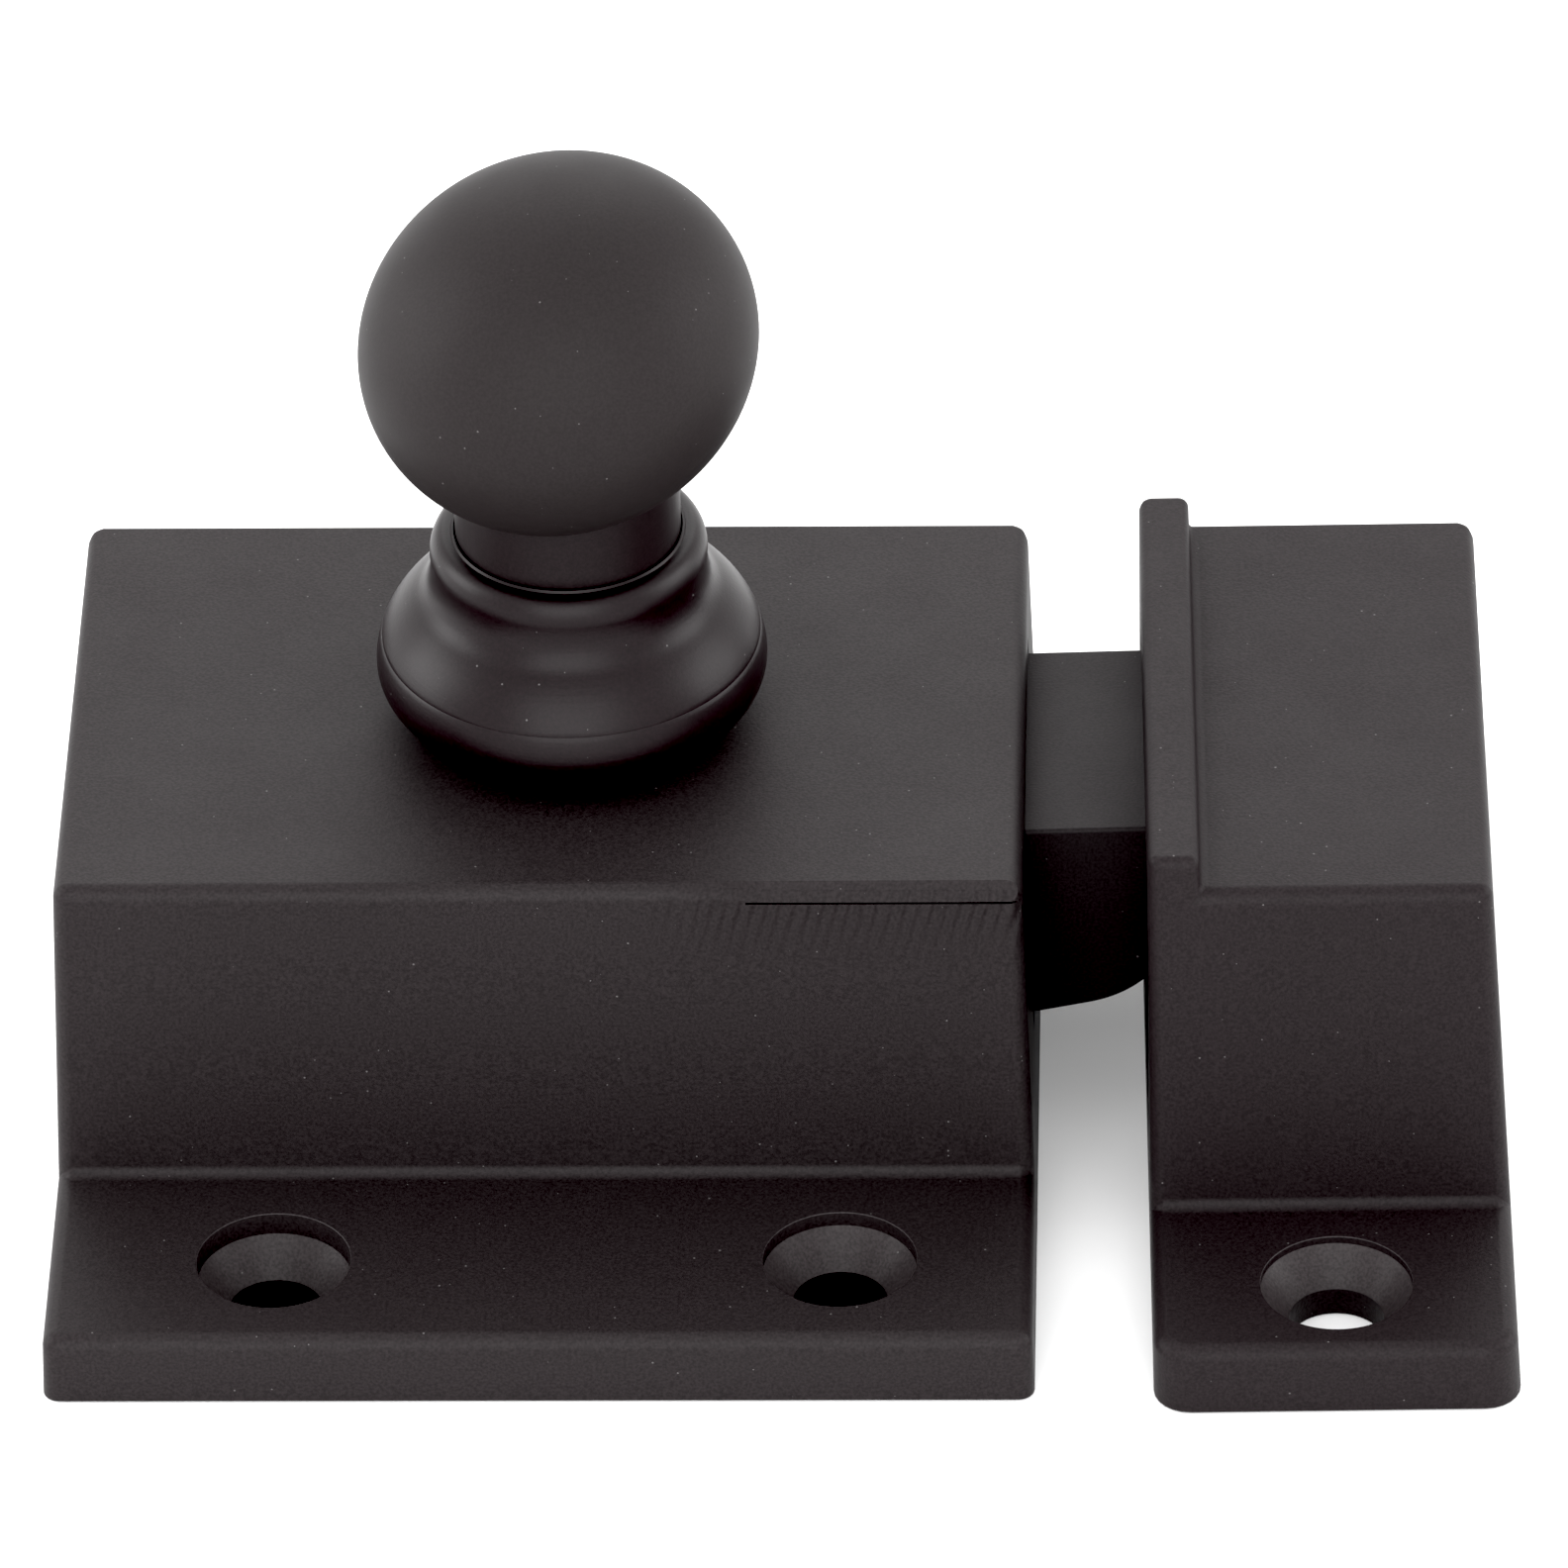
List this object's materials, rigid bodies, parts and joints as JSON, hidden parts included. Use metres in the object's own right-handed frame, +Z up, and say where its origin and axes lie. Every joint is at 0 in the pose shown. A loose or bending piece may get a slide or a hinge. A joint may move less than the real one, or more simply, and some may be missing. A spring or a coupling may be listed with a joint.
{
  "type": "cabinet latch",
  "caption": "Surface-mounted cabinet turn latch: cast flanged case, ball knob on a turned rosette, sprung bolt with a curved nose, and a separate lipped strike, in flat black.",
  "frame": {"origin": "the point where the knob's axis meets the mounting plane, at the middle of the back plate's underside", "axes": "+X is the way the bolt points, towards the strike; +Y is away from a viewer who has the bolt on the right; +Z is up off the mounting plane, along the knob's axis"},
  "size_m": [0.0529, 0.0444, 0.0376],
  "materials": {
    "case_black": "flat black paint with a fine grain, slightly worn at the edges",
    "rosette_black": "flat black paint with a fine grain, slightly worn at the edges",
    "knob_black": "flat black paint with a fine grain, slightly worn at the edges",
    "bolt_black": "flat black paint with a fine grain, slightly worn at the edges",
    "strike_black": "flat black paint with a fine grain, slightly worn at the edges",
    "washer_nylon": "natural nylon",
    "spindle_steel": "plain bright steel",
    "cam_brass": "plain sawn and filed brass",
    "cam_washer_steel": "plain bright steel",
    "ring_steel": "plain bright steel",
    "guide_pin_steel": "plain bright steel",
    "spring_steel": "plain bright steel",
    "back_plate_steel": "plain bright steel",
    "screw_steel": "plain bright steel"
  },
  "bodies": {
    "case": {"latch_case": "case_black", "rosette": "rosette_black", "back_plate": "back_plate_steel", "back_plate_screw_1": "screw_steel", "back_plate_screw_2": "screw_steel", "back_plate_screw_3": "screw_steel", "back_plate_screw_4": "screw_steel", "bolt_spring": "spring_steel"},
    "knob": {"knob": "knob_black", "spindle": "spindle_steel", "cam": "cam_brass", "cam_washer": "cam_washer_steel", "cam_retaining_ring": "ring_steel", "thrust_washer": "washer_nylon"},
    "bolt": {"latch_bolt": "bolt_black", "spring_guide_pin": "guide_pin_steel"},
    "strike": {"strike": "strike_black"}
  },
  "joints": [
    {"name": "knob_turn", "type": "hinge", "parent": "case", "child": "knob", "pos_m": [0, 0, 0.0151], "axis": [0, 0, 1], "range_deg": [-90, 0]},
    {"name": "bolt_slide", "type": "slide", "parent": "case", "child": "bolt", "axis": [1, 0, 0], "range_m": [-0.00579, 0], "stiffness_N_per_m": 300, "springref_m": 0.004, "deforming": ["bolt_spring"]},
    {"name": "strike_shift", "type": "slide", "parent": "case", "child": "strike", "axis": [1, 0, 0], "range_m": [0, 0.02]}
  ],
  "couplings": [
    {"joint": "knob_turn", "follows": "bolt_slide", "rad_per_m": 271}
  ]
}
